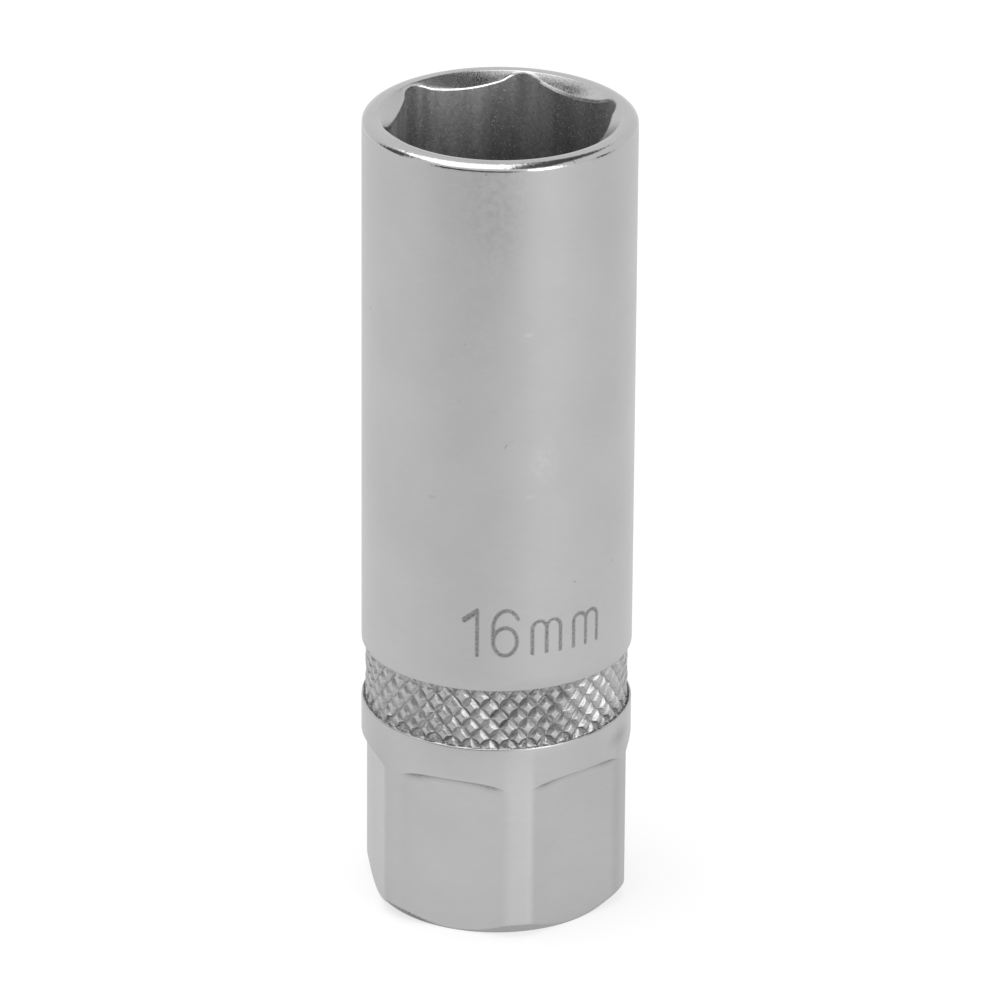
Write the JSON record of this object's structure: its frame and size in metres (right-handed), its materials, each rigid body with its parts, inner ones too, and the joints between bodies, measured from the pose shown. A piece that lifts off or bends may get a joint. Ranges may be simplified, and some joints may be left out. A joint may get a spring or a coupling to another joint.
{
  "type": "spark plug socket",
  "caption": "Deep one-piece socket with a hexagonal plug mouth, a knurled band, spanner flats and a square drive, and a rubber grip inside that holds the plug.",
  "frame": {"origin": "centre of the drive end face, on the socket's axis", "axes": "+Z along the axis towards the plug mouth; a corner of the plug hexagon lies on +X, and the drive square's flats face X and Y"},
  "size_m": [0.0212, 0.0212, 0.065],
  "materials": {
    "satin_chrome_steel": "satin chrome plate on alloy steel",
    "black_rubber": "matt moulded rubber"
  },
  "bodies": {
    "root": {"socket_body": "satin_chrome_steel", "rubber_grip": "black_rubber"}
  },
  "joints": []
}
